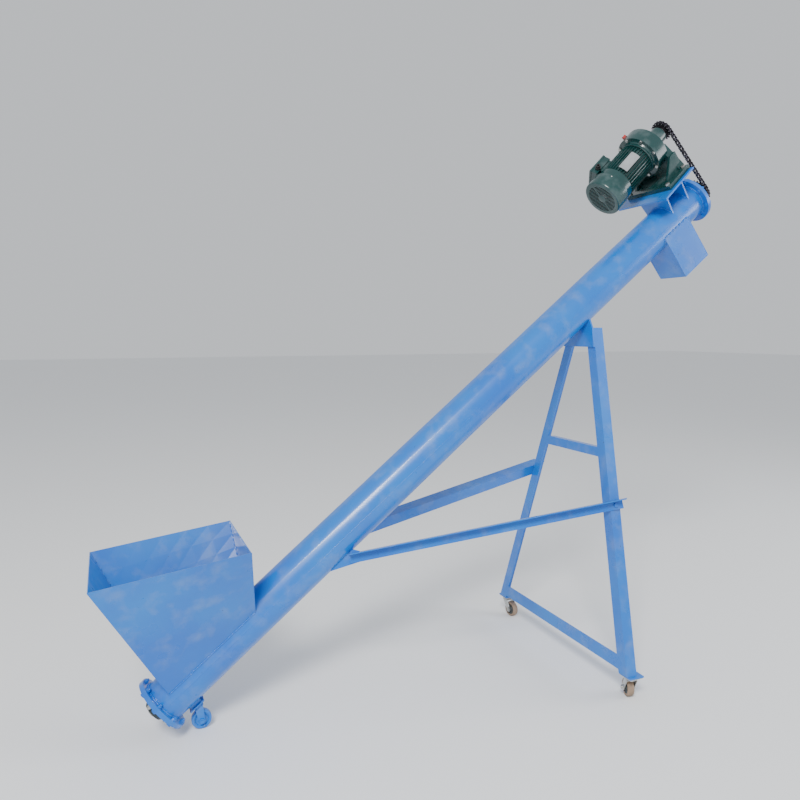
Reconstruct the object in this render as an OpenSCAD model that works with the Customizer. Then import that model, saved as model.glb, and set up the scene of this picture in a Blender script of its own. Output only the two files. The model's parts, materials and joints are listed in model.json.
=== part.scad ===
// Portable inclined grain auger: screw in a tube, feed hopper, discharge spout,
// chain drive from a geared motor, and an A-frame on casters.
// +X runs from the hopper end to the discharge end, +Z is up, and the origin is on
// the floor under the middle of the machine's outline.

/* [Tube] */
// Slope of the tube above the floor, degrees
incline = 39.1; // [34:0.1:43]
// Outside diameter of the tube
tube_d = 168; // [140:1:200]
// Wall of the tube
tube_wall = 4; // [3:0.5:6]
// Length of tube below the point over the rear legs
tube_below = 2316; // [1900:5:2800]
// Length of tube above the point over the rear legs
tube_above = 866; // [820:1:1100]
// Diameter of the tube flanges and end plates
flange_d = 224; // [200:1:260]
// Thickness of each tube flange and end plate
flange_t = 9; // [6:1:12]
// Number of bolts round each flange
flange_bolt_count = 8; // [6:1:12]

/* [Hopper] */
// Length of the rim, along the floor
rim_len = 530; // [440:5:640]
// Width of the rim, across the machine
rim_w = 460; // [380:5:560]
// How far the rim's low edge overhangs the low end of the bottom seam
rim_overhang = 249; // [180:1:320]
// Height of the rim's low edge above the low end of the bottom seam
rim_rise = 473; // [380:1:580]
// Slope of the rim, degrees
rim_slope = 7.2; // [0:0.1:12]
// Distance from the tube's low end to the bottom seam
seam_start = 58; // [45:1:120]
// Length of the bottom seam along the tube
seam_len = 410; // [340:1:500]
// Half width of the bottom seam across the tube
seam_half = 75; // [60:1:78]
// Sheet thickness of hopper and spout
sheet_t = 3; // [2:0.5:4]

/* [Spout] */
// Distance from the tube's high end to the spout's high wall
spout_inset = 124; // [110:1:180]
// Length of the spout along the tube
spout_len = 169; // [130:1:210]
// Width of the spout across the tube
spout_w = 164; // [120:1:165]
// Distance from the tube's axis to the spout's mouth
spout_drop = 240; // [190:1:300]

/* [Screw] */
// Outside diameter of the flighting
flight_d = 150; // [120:1:156]
// Pitch of the flighting
flight_pitch = 150; // [110:1:180]
// Thickness of the flighting
flight_t = 3; // [2:0.5:4]
// Outside diameter of the screw's core pipe
core_d = 48; // [42:1:60]
// Diameter of the shaft ends that run in the bearings
journal_d = 30; // [25:1:35]

/* [Legs] */
// Width of each flange of the leg angle
leg_w = 50; // [40:1:60]
// Thickness of the leg angle
leg_t = 5; // [4:0.5:6]
// Distance between the outer corners of the legs at the foot
foot_span = 990; // [800:5:1200]
// Distance between the outer corners of the legs at the top
top_span = 170; // [160:1:260]
// How far the feet sit back from the point over the rear legs
foot_back = 42; // [0:1:80]
// How far the leg tops sit forward of the point over the rear legs
top_forward = 63; // [50:1:80]
// Gap between the leg tops and the underside of the tube at its lowest
top_gap = 8; // [5:1:20]
// Width of the lower cross bar
low_bar_w = 56; // [45:1:65]
// Width of the upper cross bar
high_bar_w = 40; // [30:1:50]
// Thickness of both cross bars
bar_t = 4; // [3:0.5:5]
// Height of the upper cross bar's top face above the floor
high_bar_z = 1003; // [900:1:1200]

/* [Braces] */
// Width of the near brace's angle
near_brace_w = 40; // [35:1:50]
// Width of the far brace's angle
far_brace_w = 50; // [40:1:55]
// Thickness of both braces
brace_t = 4; // [3:0.5:5]
// Height of the near brace's lower edge where it meets the leg
near_brace_z = 754; // [700:1:850]
// Height of the far brace's lower edge where it meets the leg
far_brace_z = 795; // [700:1:900]
// Horizontal reach of the braces from the feet to the tube
brace_reach = 1075; // [900:5:1250]
// How far the braces climb from the tube to the leg
brace_climb = 168; // [140:1:260]
// Distance of each brace's tube end from the machine's middle plane
brace_inset = 60; // [50:1:80]

/* [Casters] */
// Diameter of the caster wheels
wheel_d = 75; // [60:1:100]
// Width of the caster wheels
wheel_w = 28; // [22:1:34]
// Height of a caster from floor to the top of its plate
caster_h = 100; // [95:1:125]
// How far the wheel trails its swivel axis
caster_trail = 28; // [20:1:36]
// Size of the square caster plates
caster_plate = 64; // [56:1:75]
// Size of the square foot plates
foot_plate = 70; // [62:1:80]
// Thickness of the foot plates
foot_plate_t = 6; // [5:1:8]
// Direction of the near rear caster's trail, degrees from +X
near_swivel = 70; // [-180:1:180]
// Direction of the far rear caster's trail, degrees from +X
far_swivel = -82; // [-180:1:180]

/* [Drive] */
// Tilt of the drive platform against the tube, degrees
drive_tilt = 6; // [0:0.5:7]
// Distance of the drive sprocket beyond the tube's high end, along the tube
sprocket_beyond = 50; // [48:1:65]
// Teeth of the drive sprocket
drive_teeth = 17; // [15:1:19]
// Teeth of the driven sprocket
driven_teeth = 23; // [20:1:26]
// Number of links in the chain
chain_links = 64; // [60:2:72]
// Height of the reducer's shaft above the base plate
shaft_h = 166; // [150:1:180]
// Radius of the reducer's gear ring
ring_r = 105; // [95:1:115]
// Radius of the motor's fins
motor_r = 84; // [70:1:88]
// Number of fins round the motor
fin_count = 36; // [24:2:44]
// Width of the base plate, across the machine
base_w = 314; // [290:1:360]
// Length of the base plate
base_len = 214; // [190:1:240]
// Thickness of the base plate
base_t = 8; // [6:1:12]
// Half width of the gussets at the base plate
gusset_half = 90; // [85:1:110]

/* [Clearances] */
// Gap at welded faces that follow a curve
weld_gap = 0.3; // [0.1:0.1:0.5]
// Radial clearance of shafts and pins that turn
running_gap = 0.08; // [0.03:0.01:0.1]
// Gap between faces that slide past each other
side_gap = 0.5; // [0.3:0.1:1]

/* [Hidden] */
$fn = 64;

paint = [0.0, 0.6, 0.9];
green = [0.08, 0.25, 0.25];
black = [0.1, 0.1, 0.14];
steel = [0.6, 0.62, 0.65];
zinc = [0.75, 0.77, 0.8];
tread = [0.6, 0.5, 0.42];

tube_r = tube_d / 2;
bore_r = tube_r - tube_wall;
wheel_r = wheel_d / 2;
flange_r = flange_d / 2;

// Front caster: its swivel stands square to the tube, and it sets the machine's height.
front_pad = 11;
front_swivel_s = -tube_below + 80;
front_plate_n = -(tube_r + front_pad);
front_wheel_n = front_plate_n - (caster_h - wheel_r);
front_wheel_s = front_swivel_s - caster_trail;
axis_z = wheel_r - front_wheel_s * sin(incline) - front_wheel_n * cos(incline);

// Places along the tube: s from the point over the rear legs, n square to the axis.
function on_tube(s, y, n) =
    [s * cos(incline) - n * sin(incline), y, axis_z + s * sin(incline) + n * cos(incline)];

// Hopper corners
seam_s0 = -tube_below + seam_start;
seam_s1 = seam_s0 + seam_len;
seam_r = tube_r + weld_gap;
seam_n = sqrt(seam_r * seam_r - seam_half * seam_half);
seam_low = on_tube(seam_s0, -seam_half, seam_n);
seam_high = on_tube(seam_s1, -seam_half, seam_n);
rim_low = [seam_low[0] - rim_overhang, -rim_w / 2, seam_low[2] + rim_rise];
rim_high = [rim_low[0] + rim_len, -rim_w / 2, rim_low[2] + rim_len * tan(rim_slope)];

// Spout
spout_s1 = tube_above - spout_inset;
spout_s0 = spout_s1 - spout_len;

// Leg plane: it leans back by leg_lean, and the legs spread in it by leg_spread.
foot_z = caster_h + foot_plate_t;
under_tube_z = axis_z + top_forward * tan(incline) - tube_r / cos(incline);
top_z = under_tube_z - top_gap;
leg_lean = atan((top_forward + foot_back) / (top_z - foot_z));
leg_run = (top_z - foot_z) / cos(leg_lean);
leg_spread = atan((foot_span - top_span) / 2 / leg_run);
saddle_t = 8;
saddle_h = 86;
function corner_half(w) = foot_span / 2 - w * tan(leg_spread);
function inner_half(w) = corner_half(w) - leg_w / cos(leg_spread);
function up_leg(z) = (z - foot_z) / cos(leg_lean);

// Rear casters
rear_x = -foot_back + 38;
rear_y = foot_span / 2 - 19;

// Bearings
bearing_h = 33;
housing_w = 108;
bolt_square = 83;
race_r = 24;
ball_r = 4.5;
ball_pitch_r = (race_r + 3 + journal_d / 2 + 6) / 2;

// Chain and sprockets
pitch = 15.875;
roller_r = 5.08;
chain_inner_w = 9.65;
link_t = 1.5;
link_h = 14;
tooth_w = 6;
chain_tilt = drive_tilt / 2;
drive_s = tube_above + sprocket_beyond;
function pitch_r(teeth) = pitch / 2 / sin(180 / teeth);
r1 = pitch_r(drive_teeth);
r2 = pitch_r(driven_teeth);
function gamma(c) = asin((r2 - r1) / c);
function links_for(c) = drive_teeth * (180 - 2 * gamma(c)) / 360
    + driven_teeth * (180 + 2 * gamma(c)) / 360
    + 2 * sqrt(c * c - (r2 - r1) * (r2 - r1)) / pitch;
function solve_centre(lo, hi, n) = n == 0 ? (lo + hi) / 2
    : links_for((lo + hi) / 2) > chain_links
        ? solve_centre(lo, (lo + hi) / 2, n - 1)
        : solve_centre((lo + hi) / 2, hi, n - 1);
centre_dist = solve_centre(150, 600, 40);
drive_n = centre_dist * cos(chain_tilt);
driven_s = drive_s + centre_dist * sin(chain_tilt);

// Drive train lengths, measured back from the drive sprocket's middle
hub_r = 38;
hub_front = -26;
hub_back = -96;
case_back = -122;
ring_back = -176;
adapter_back = -196;
frame_back = -366;
shield_back = -412;
cover_back = -472;
foot_x0 = -254;
foot_x1 = -104;
foot_half = 140;
foot_t = 20;
base_x1 = -104;
base_x0 = base_x1 - base_len;
output_r = 17.5;
rotor_r = 12;

// Middle of the machine's outline along X
outline_max = driven_s * cos(incline) + (r2 + link_h / 2) * sin(incline) + 14;
centre_x = (rim_low[0] + outline_max) / 2;

// ---- frames of reference ----

module machine() {
    translate([-centre_x, 0, 0]) children();
}

module along_tube() {
    machine() translate([0, 0, axis_z]) rotate([0, -incline, 0]) children();
}

module in_leg_plane() {
    machine() translate([-foot_back, 0, foot_z]) rotate([0, leg_lean, 0]) children();
}

module at_drive() {
    along_tube() translate([drive_s, 0, drive_n]) rotate([0, -drive_tilt, 0]) children();
}

// Places children with their x, y and z along three given unit directions.
module basis(o, u, v, w) {
    multmatrix([
        [u[0], v[0], w[0], o[0]],
        [u[1], v[1], w[1], o[1]],
        [u[2], v[2], w[2], o[2]],
        [0, 0, 0, 1]
    ]) children();
}

function unit(v) = v / norm(v);

// Solid round bar along x
module rod(r, x0, x1) {
    translate([x0, 0, 0]) rotate([0, 90, 0]) cylinder(r = r, h = x1 - x0);
}

// Hexagon bar along x
module hex_rod(across, x0, x1) {
    translate([x0, 0, 0]) rotate([0, 90, 0])
        cylinder(r = across / sqrt(3), h = x1 - x0, $fn = 6);
}

module ring_of(count, r, start = 0) {
    for (i = [0:count - 1]) {
        rotate([start + i * 360 / count, 0, 0]) translate([0, r, 0]) children();
    }
}

module tube_solid() {
    rod(tube_r + weld_gap, -tube_below - 200, tube_above + 200);
}

// ---- tube, flanges and end plates ----

module auger_tube() {
    color(paint) along_tube() difference() {
        rod(tube_r, -tube_below, tube_above);
        rod(bore_r, -tube_below - 1, tube_above + 1);
        translate([seam_s0 + 14, -seam_half + 12, 20])
            cube([seam_len - 28, 2 * seam_half - 24, tube_r]);
        translate([spout_s0 + 8, -spout_w / 2 + 14, -tube_r - 1])
            cube([spout_len - 16, spout_w - 28, tube_r]);
    }
}

flange_bolt_r = tube_r + 15;

module flange_disc(x0, hole_r) {
    difference() {
        rod(flange_r, x0, x0 + flange_t);
        rod(hole_r, x0 - 1, x0 + flange_t + 1);
        ring_of(flange_bolt_count, flange_bolt_r, 180 / flange_bolt_count)
            rod(5.5, x0 - 1, x0 + flange_t + 1);
    }
}

module lower_tube_flange() {
    color(paint) along_tube() flange_disc(-tube_below, tube_r + weld_gap);
}

module upper_tube_flange() {
    color(paint) along_tube() flange_disc(tube_above - flange_t, tube_r + weld_gap);
}

seal_r = journal_d / 2 + 8;

module end_plate(x0) {
    difference() {
        flange_disc(x0, seal_r);
        for (y = [-1, 1], z = [-1, 1]) {
            translate([0, y * bolt_square / 2, z * bolt_square / 2])
                rod(6, x0 - 1, x0 + flange_t + 1);
        }
    }
}

module lower_end_plate() {
    color(paint) along_tube() end_plate(-tube_below - flange_t);
}

module upper_end_plate() {
    color(paint) along_tube() end_plate(tube_above);
}

// A bolt along x with its head below x0 and its nut above x1
module hex_bolt(r, across, x0, x1) {
    head = 1.3 * r;
    hex_rod(across, x0 - head, x0);
    rod(r, x0 - head / 2, x1 + 2 * head);
    hex_rod(across, x1, x1 + 1.6 * r);
}

module flange_bolts() {
    color(paint) along_tube() for (x = [-tube_below - flange_t, tube_above - flange_t]) {
        ring_of(flange_bolt_count, flange_bolt_r, 180 / flange_bolt_count)
            hex_bolt(5, 16, x, x + 2 * flange_t);
    }
}

// ---- hopper ----

// Outline of an end wall in its own plane: y across, z up the wall from the seam line
module end_wall(low, high, half_low, half_high, inward) {
    dir = unit([high[0] - low[0], 0, high[2] - low[2]]);
    out = [dir[2], 0, -dir[0]];
    run = norm([high[0] - low[0], 0, high[2] - low[2]]);
    slack = sheet_t + 2 * weld_gap;
    extra = 60;
    taper = (half_high - half_low) / run;
    difference() {
        basis([low[0], 0, low[2]], [0, 1, 0], dir, cross([0, 1, 0], dir))
            translate([0, 0, inward > 0 ? -sheet_t : 0]) linear_extrude(sheet_t) polygon([
                [-half_low + slack + extra * taper, -extra],
                [half_low - slack - extra * taper, -extra],
                [half_high - slack, run],
                [-half_high + slack, run]
            ]);
        translate([0, 0, axis_z]) rotate([0, -incline, 0]) tube_solid();
    }
}

module hopper_low_panel() {
    color(paint) machine() end_wall(seam_low, rim_low, seam_half, rim_w / 2, -1);
}

module hopper_high_panel() {
    color(paint) machine() end_wall(seam_high, rim_high, seam_half, rim_w / 2, 1);
}

// Point on a side panel: u runs along the machine, v up from the seam
function mix(a, b, k) = a * (1 - k) + b * k;
function side_point(u, v, inset) =
    mix(mix(seam_low, rim_low, v), mix(seam_high, rim_high, v), u) + [0, inset, 0];

// The side panel is a twisted sheet, trimmed where it stands on the tube
module side_panel() {
    nu = 6;
    nv = 6;
    tuck = 0.02;
    inset = sheet_t * 1.05;
    grid = [for (side = [0, 1]) for (j = [0:nv]) for (i = [0:nu])
        side_point(i / nu, j / nv * (1 + tuck) - tuck, side * inset)];
    row = nu + 1;
    layer = row * (nv + 1);
    outer = [for (j = [0:nv - 1]) for (i = [0:nu - 1]) let (a = j * row + i)
        each [[a, a + 1, a + row + 1], [a, a + row + 1, a + row]]];
    inner = [for (f = outer) [f[2] + layer, f[1] + layer, f[0] + layer]];
    edge = concat(
        [for (i = [0:nu]) i],
        [for (j = [1:nv]) j * row + nu],
        [for (i = [nu - 1:-1:0]) nv * row + i],
        [for (j = [nv - 1:-1:1]) j * row]
    );
    count = len(edge);
    rim = [for (k = [0:count - 1]) let (a = edge[k], b = edge[(k + 1) % count])
        each [[a, a + layer, b + layer], [a, b + layer, b]]];
    difference() {
        polyhedron(grid, [for (f = concat(outer, inner, rim)) [f[2], f[1], f[0]]]);
        translate([0, 0, axis_z]) rotate([0, -incline, 0]) tube_solid();
    }
}

module hopper_near_panel() {
    color(paint) machine() side_panel();
}

module hopper_far_panel() {
    color(paint) machine() mirror([0, 1, 0]) side_panel();
}

// ---- spout ----

module spout_side_panels() {
    color(paint) along_tube() difference() {
        for (k = [-1, 1]) {
            translate([spout_s0, k * (spout_w - sheet_t) / 2 - sheet_t / 2, -spout_drop])
                cube([spout_len, sheet_t, spout_drop]);
        }
        tube_solid();
    }
}

module spout_end_panels() {
    color(paint) along_tube() difference() {
        for (x = [spout_s0, spout_s1 - sheet_t]) {
            translate([x, -spout_w / 2 + sheet_t, -spout_drop])
                cube([sheet_t, spout_w - 2 * sheet_t, spout_drop]);
        }
        tube_solid();
    }
}

// ---- flange bearings ----

// Square flange unit with its foot on x = 0, standing along +x
module bearing_housing() {
    difference() {
        union() {
            intersection() {
                translate([0, -housing_w / 2, -housing_w / 2])
                    cube([13, housing_w, housing_w]);
                rod(housing_w * 0.62, 0, 13);
            }
            rod(race_r + 17, 0, bearing_h - 4);
            rod(race_r + 14, bearing_h - 5, bearing_h);
        }
        rod(race_r + 8.5, -1, bearing_h + 1);
        for (y = [-1, 1], z = [-1, 1]) {
            translate([0, y * bolt_square / 2, z * bolt_square / 2]) rod(6, -1, 14);
        }
    }
    difference() {
        rod(race_r + 8.5, 8, 26);
        rod(race_r + 3, 7, 27);
        rotate_extrude_x(ball_pitch_r, ball_r + 0.1, 17);
    }
}

// Round groove about the x axis
module rotate_extrude_x(r, groove_r, x) {
    translate([x, 0, 0]) rotate([0, 90, 0]) rotate_extrude() translate([r, 0, 0])
        circle(r = groove_r);
}

module at_lower_bearing() {
    along_tube() translate([-tube_below - flange_t, 0, 0]) mirror([1, 0, 0]) children();
}

module at_upper_bearing() {
    along_tube() translate([tube_above + flange_t, 0, 0]) children();
}

module lower_bearing_housing() {
    color(green) at_lower_bearing() bearing_housing();
}

module upper_bearing_housing() {
    color(green) at_upper_bearing() bearing_housing();
}

module unit_bolts() {
    for (y = [-1, 1], z = [-1, 1]) {
        translate([0, y * bolt_square / 2, z * bolt_square / 2]) {
            hex_rod(16, 13, 20);
            rod(5, -flange_t, 24);
        }
    }
}

module bearing_bolts() {
    color(zinc) {
        at_lower_bearing() unit_bolts();
        at_upper_bearing() unit_bolts();
    }
}

module ball_set() {
    ring_of(9, ball_pitch_r) translate([17, 0, 0]) sphere(r = ball_r);
}

module bearing_balls() {
    color(steel) {
        at_lower_bearing() ball_set();
        at_upper_bearing() ball_set();
    }
}

module inner_ring() {
    difference() {
        rod(journal_d / 2 + 6, 4, bearing_h + 3);
        rod(journal_d / 2 + 0.02, 3, bearing_h + 4);
        rotate_extrude_x(ball_pitch_r, ball_r + 0.1, 17);
    }
}

module bearing_inner_rings() {
    color(steel) {
        at_lower_bearing() inner_ring();
        at_upper_bearing() inner_ring();
    }
}

module seal_ring() {
    difference() {
        rod(seal_r - 0.05, -flange_t, 0);
        rod(journal_d / 2 + running_gap, -flange_t - 1, 1);
    }
}

module shaft_seals() {
    color(black) {
        at_lower_bearing() seal_ring();
        at_upper_bearing() seal_ring();
    }
}

// ---- screw ----

core_s0 = -tube_below + 12;
core_s1 = tube_above - 14;
plug_len = 90;

module screw_core() {
    color(paint) along_tube() difference() {
        rod(core_d / 2, core_s0, core_s1);
        rod(core_d / 2 - 4, core_s0 - 1, core_s1 + 1);
    }
}

module screw_journals() {
    color(steel) along_tube() {
        rod(core_d / 2 - 4.05, core_s0, core_s0 + plug_len);
        rod(journal_d / 2, -tube_below - flange_t - bearing_h - 9, core_s0 + 1);
        rod(core_d / 2 - 4.05, core_s1 - plug_len, core_s1);
        rod(journal_d / 2, core_s1 - 1, driven_s + 40);
    }
}

module screw_flighting() {
    steps = 16;
    s0 = -tube_below + 30;
    s1 = spout_s1 - 6;
    count = floor((s1 - s0) / flight_pitch * steps);
    root_r = (core_d / 2 + 0.2) / cos(180 / steps);
    rows = [for (k = [0:count]) let (a = k * 360 / steps, x = s0 + k * flight_pitch / steps)
        each [
            [x, root_r * cos(a), root_r * sin(a)],
            [x, flight_d / 2 * cos(a), flight_d / 2 * sin(a)],
            [x + flight_t, flight_d / 2 * cos(a), flight_d / 2 * sin(a)],
            [x + flight_t, root_r * cos(a), root_r * sin(a)]
        ]];
    sides = [for (k = [0:count - 1]) for (e = [0:3])
        let (a = 4 * k + e, b = 4 * k + (e + 1) % 4)
        each [[a, b, b + 4], [a, b + 4, a + 4]]];
    last = 4 * count;
    ends = [[0, 2, 1], [0, 3, 2], [last, last + 1, last + 2], [last, last + 2, last + 3]];
    color(steel) along_tube() polyhedron(rows, concat(sides, ends));
}

// ---- legs and cross bars ----

// Angle section with its outer corner on the origin
module angle_section(w, t) {
    square([w, t]);
    square([t, w]);
}

module leg_bar() {
    translate([0, -foot_span / 2, 0]) rotate([-leg_spread, 0, 0])
        translate([0, 0, -80]) linear_extrude(leg_run * 1.2) angle_section(leg_w, leg_t);
}

module leg(edge_z, w) {
    difference() {
        intersection() {
            in_leg_plane() leg_bar();
            translate([-2000, -1000, foot_z]) cube([4000, 2000, top_z - foot_z]);
        }
        brace_bolt_axis(edge_z, w) rod(5.5, -10, 60);
    }
}

module near_leg() {
    color(paint) leg(near_brace_z, near_brace_w);
}

module far_leg() {
    color(paint) mirror([0, 1, 0]) leg(far_brace_z, far_brace_w);
}

// Outline between the inner edges of the two legs
module between_legs() {
    w1 = leg_run * 0.95;
    rotate([90, 0, 90]) linear_extrude(200, center = true) polygon([
        [-inner_half(-80), -80],
        [inner_half(-80), -80],
        [inner_half(w1), w1],
        [-inner_half(w1), w1]
    ]);
}

module upper_cross_bar() {
    color(paint) in_leg_plane() intersection() {
        translate([0, -foot_span / 2, up_leg(high_bar_z)]) rotate([-90, 0, 0])
            linear_extrude(foot_span) angle_section(high_bar_w, bar_t);
        between_legs();
    }
}

module lower_cross_bar() {
    color(paint) in_leg_plane() intersection() {
        translate([0, foot_span / 2, 12]) rotate([90, 0, 0])
            linear_extrude(foot_span) angle_section(low_bar_w, bar_t);
        between_legs();
    }
}

module saddle_plate() {
    top_w = up_leg(top_z);
    low_w = top_w - saddle_h;
    color(paint) difference() {
        in_leg_plane() translate([-saddle_t, 0, 0]) rotate([90, 0, 90])
            linear_extrude(saddle_t) polygon([
                [-corner_half(low_w), low_w],
                [corner_half(low_w), low_w],
                [corner_half(top_w), top_w],
                [tube_r * 0.66, top_w + 48],
                [-tube_r * 0.66, top_w + 48],
                [-corner_half(top_w), top_w]
            ]);
        along_tube() tube_solid();
    }
}

module foot_plates() {
    color(paint) machine() for (k = [-1, 1]) {
        translate([rear_x - foot_plate / 2, k * rear_y - foot_plate / 2, caster_h])
            cube([foot_plate, foot_plate, foot_plate_t]);
    }
}

// ---- braces ----

// Directions of the near leg: up its corner, and square out of its outer face
leg_up = [sin(leg_lean) * cos(leg_spread), sin(leg_spread), cos(leg_lean) * cos(leg_spread)];
leg_p = [cos(leg_lean), 0, -sin(leg_lean)];
leg_face = cross(leg_p, leg_up);
function leg_corner(z) =
    [-foot_back + up_leg(z) * sin(leg_lean), -corner_half(up_leg(z)), z];

// A near-side brace runs from the tube to the middle of the leg's outer face
function brace_start(z) = [-brace_reach, -brace_inset, z - brace_climb];
function brace_dir(z) = unit(leg_corner(z) + leg_p * leg_w / 2 - brace_start(z));
function brace_out(z) = unit(leg_face - brace_dir(z) * (leg_face * brace_dir(z)));
function brace_up(z) = cross(brace_out(z), brace_dir(z));
function brace_len(z) = norm(leg_corner(z) + leg_p * leg_w / 2 - brace_start(z));

// How far out the leg's edge at across stands, where it passes the brace at height v
function edge_out(z, across, v) =
    let (q = leg_corner(z) + leg_p * across - brace_start(z))
    q * brace_out(z) + (v - q * brace_up(z)) / (leg_up * brace_up(z)) * (leg_up * brace_out(z));
function brace_shift(z, w) = weld_gap
    + max([for (across = [0, leg_w]) for (v = [0, w]) edge_out(z, across, v)]);

// Frame of a near-side brace: x runs from the tube to the leg, y inward to the leg's
// outer face, z up, and the origin is the lower edge's tube end. The brace lies in y < 0.
module brace_frame(z, w) {
    machine() basis(brace_start(z) + brace_out(z) * brace_shift(z, w),
        brace_dir(z), -brace_out(z), brace_up(z)) children();
}

module brace_bar(edge_z, w) {
    run = brace_len(edge_z);
    past = leg_w / 2 + 8;
    difference() {
        union() {
            translate([0, -brace_t, 0]) cube([run + past, brace_t, w]);
            translate([0, 0, w - brace_t]) linear_extrude(brace_t) polygon([
                [0, 0],
                [run + past + 26, 0],
                [run + past + 4, -w],
                [0, -w]
            ]);
        }
        translate([run, -brace_t, w / 2 - 2]) rotate([0, 0, 90]) rod(5.5, -10, 20);
    }
}

// The brace is coped round the tube where its end meets it
module brace(edge_z, w) {
    difference() {
        brace_frame(edge_z, w) brace_bar(edge_z, w);
        along_tube() tube_solid();
    }
}

module near_brace() {
    color(paint) brace(near_brace_z, near_brace_w);
}

module far_brace() {
    color(paint) mirror([0, 1, 0]) brace(far_brace_z, far_brace_w);
}

// Ear welded to the tube, behind the brace's upright flange
module ear(edge_z, w) {
    ear_t = 6;
    difference() {
        brace_frame(edge_z, w) translate([0, ear_t, 0]) rotate([90, 0, 0])
            linear_extrude(ear_t) polygon([
                [50, 1],
                [50, w - 1],
                [-15, w + 30],
                [-90, w],
                [-80, -14]
            ]);
        along_tube() tube_solid();
    }
}

module brace_ears() {
    color(paint) {
        ear(near_brace_z, near_brace_w);
        mirror([0, 1, 0]) ear(far_brace_z, far_brace_w);
    }
}

// Bolt axis through the brace and the leg, square to the brace, running inward
module brace_bolt_axis(edge_z, w) {
    brace_frame(edge_z, w) translate([brace_len(edge_z), -brace_t, w / 2 - 2])
        rotate([0, 0, 90]) children();
}

module brace_bolt(edge_z, w) {
    nut = brace_t + leg_t + brace_shift(edge_z, w) + 6;
    brace_bolt_axis(edge_z, w) {
        hex_rod(16, -7, 0);
        rod(4.8, -6, nut + 14);
        hex_rod(16, nut, nut + 8);
    }
}

module brace_bolts() {
    color(zinc) {
        brace_bolt(near_brace_z, near_brace_w);
        mirror([0, 1, 0]) brace_bolt(far_brace_z, far_brace_w);
    }
}

// ---- drive platform ----

foot_bolt_x = [foot_x0 + 14, foot_x1 - 14];
foot_bolt_y = foot_half - 18;

module foot_holes(r, z0, z1) {
    for (x = foot_bolt_x, k = [-1, 1]) {
        translate([x, k * foot_bolt_y, z0]) cylinder(r = r, h = z1 - z0);
    }
}

module drive_base_plate() {
    color(paint) at_drive() difference() {
        translate([base_x0, -base_w / 2, -shaft_h - base_t]) cube([base_len, base_w, base_t]);
        foot_holes(6.5, -shaft_h - base_t - 1, -shaft_h + 1);
    }
}

// Distance up from the tube's axis to the platform's underside, at s along the tube
function platform_n(s) =
    drive_n - (shaft_h + base_t) / cos(drive_tilt) - (drive_s - s) * tan(drive_tilt);

gusset_t = 8;
gusset_s = [tube_above - 184, tube_above - 70];

module drive_gussets() {
    color(paint) along_tube() difference() {
        for (s = gusset_s) {
            top = platform_n(s) - weld_gap;
            translate([s, 0, 0]) rotate([90, 0, 90]) linear_extrude(gusset_t) polygon([
                [-gusset_half + 16, 30],
                [gusset_half - 16, 30],
                [gusset_half, top],
                [-gusset_half, top]
            ]);
        }
        tube_solid();
    }
}

// ---- reducer ----

module reducer_housing() {
    color(green) at_drive() difference() {
        union() {
            translate([foot_x0, -foot_half, -shaft_h])
                cube([foot_x1 - foot_x0, 2 * foot_half, foot_t]);
            rod(hub_r, hub_back, hub_front);
            translate([case_back, 0, 0]) rotate([0, 90, 0])
                cylinder(r1 = ring_r - 12, r2 = hub_r + 14, h = hub_back - case_back);
            rod(ring_r, case_back - 12, case_back);
            translate([case_back - 12, 0, 0]) rotate([90, 0, 90]) linear_extrude(38)
                polygon([
                    [-foot_half + 28, -shaft_h + foot_t - 1],
                    [foot_half - 28, -shaft_h + foot_t - 1],
                    [ring_r - 24, -20],
                    [-ring_r + 24, -20]
                ]);
            for (k = [-1, 1]) {
                translate([0, k * (foot_half - 40) + 6, 0]) rotate([90, 0, 0])
                    linear_extrude(12) polygon([
                        [foot_x0 + 30, -shaft_h + foot_t - 1],
                        [foot_x1, -shaft_h + foot_t - 1],
                        [case_back + 26, -70],
                        [case_back - 12, -70]
                    ]);
            }
        }
        rod(output_r + running_gap, hub_back - 60, hub_front + 1);
        rod(output_r + 12, case_back - 13, hub_back);
        foot_holes(6.5, -shaft_h - 1, -shaft_h + foot_t + 1);
    }
}

ring_bolt_count = 8;

module reducer_gear_ring() {
    color(green) at_drive() difference() {
        union() {
            rod(ring_r, ring_back, case_back - 12);
            at_breather() cylinder(r = 12, h = ring_r + 2);
        }
        rod(ring_r - 24, ring_back - 1, case_back);
        at_breather() translate([0, 0, ring_r - 12]) cylinder(r = 6.1, h = 20);
        ring_of(ring_bolt_count, ring_r - 8) rod(4.1, ring_back - 1, ring_back + 22);
    }
}

module motor_adapter() {
    color(green) at_drive() difference() {
        union() {
            rod(ring_r, adapter_back + 8, ring_back);
            translate([adapter_back, 0, 0]) rotate([0, 90, 0])
                cylinder(r1 = motor_r, r2 = ring_r - 18, h = 9);
        }
        rod(rotor_r + 6, adapter_back - 1, ring_back + 1);
        ring_of(ring_bolt_count, ring_r - 8)
            rod(4.6, adapter_back, ring_back + 1);
    }
}

module reducer_bolts() {
    color(zinc) at_drive() {
        ring_of(ring_bolt_count, ring_r - 8) {
            hex_rod(13, adapter_back + 2, adapter_back + 8);
            rod(4, adapter_back + 5, ring_back + 20);
        }
        for (x = foot_bolt_x, k = [-1, 1]) {
            translate([x, k * foot_bolt_y, 0]) rotate([0, -90, 0]) {
                hex_rod(18, -shaft_h + foot_t, -shaft_h + foot_t + 8);
                rod(6, -shaft_h - base_t - 14, -shaft_h + foot_t + 6);
                hex_rod(18, -shaft_h - base_t - 10, -shaft_h - base_t);
            }
        }
    }
}

// Axis of the breather, leaning toward the far side
module at_breather() {
    rotate([-22, 0, 0]) translate([(ring_back + case_back - 12) / 2, 0, 0]) children();
}

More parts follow.
